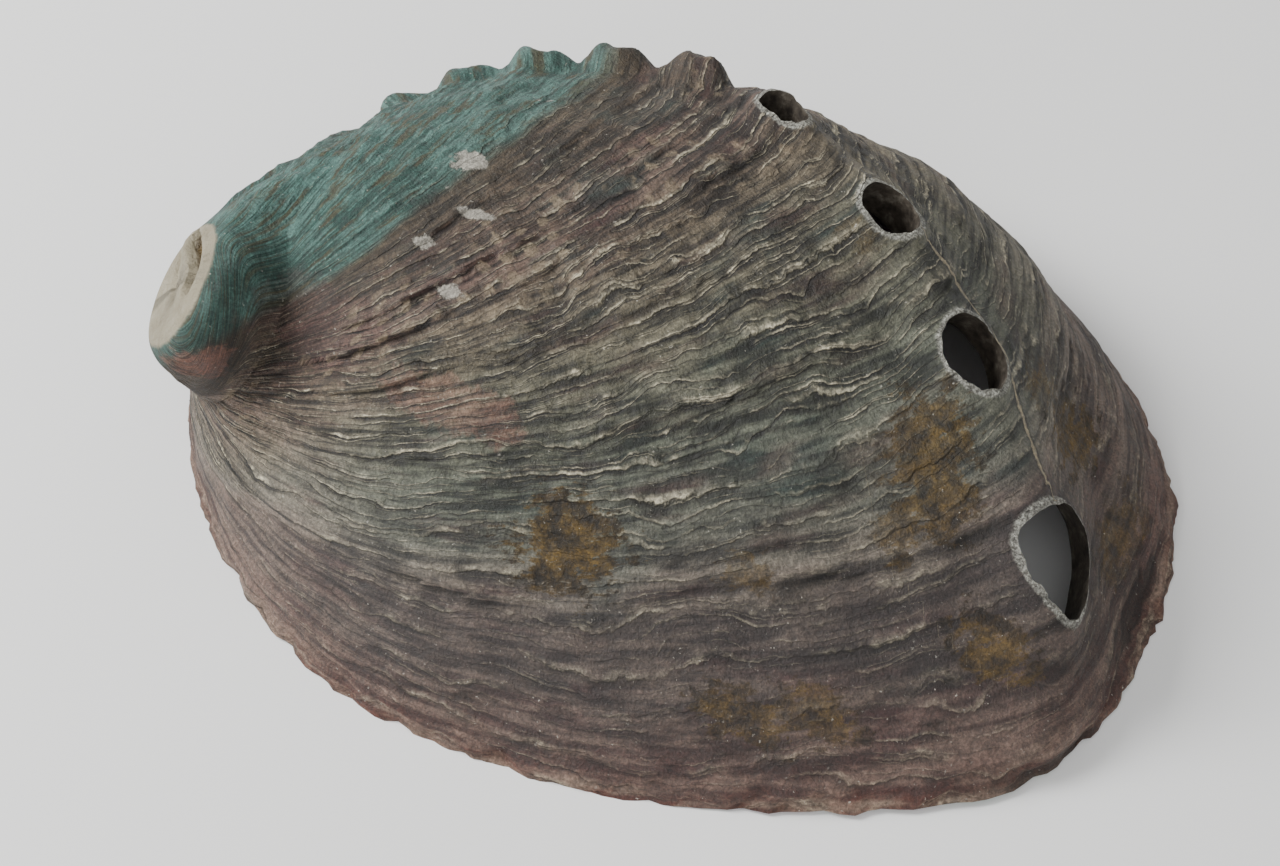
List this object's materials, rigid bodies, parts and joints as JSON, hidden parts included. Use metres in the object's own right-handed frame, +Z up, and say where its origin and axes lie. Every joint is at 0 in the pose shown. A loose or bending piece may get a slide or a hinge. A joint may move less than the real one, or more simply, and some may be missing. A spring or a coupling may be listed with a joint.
{
  "type": "abalone shell",
  "caption": "Empty abalone shell, a low ear-shaped dome with a row of open and healed holes, growth ledges, a worn spire tip and a hollow pearly inside, lying on its rim",
  "frame": {"origin": "middle of the shell's plan outline, on the plane that its rim rests on", "axes": "+Z up, the shortest extent; +X towards the growing end, the longest extent; the row of holes runs along the +Y side"},
  "size_m": [0.1847, 0.141, 0.0565],
  "materials": {
    "shell": "rough crust in dark olive, brown and mauve with cream lines; pearly inside"
  },
  "bodies": {
    "root": {"shell": "shell"}
  },
  "joints": []
}
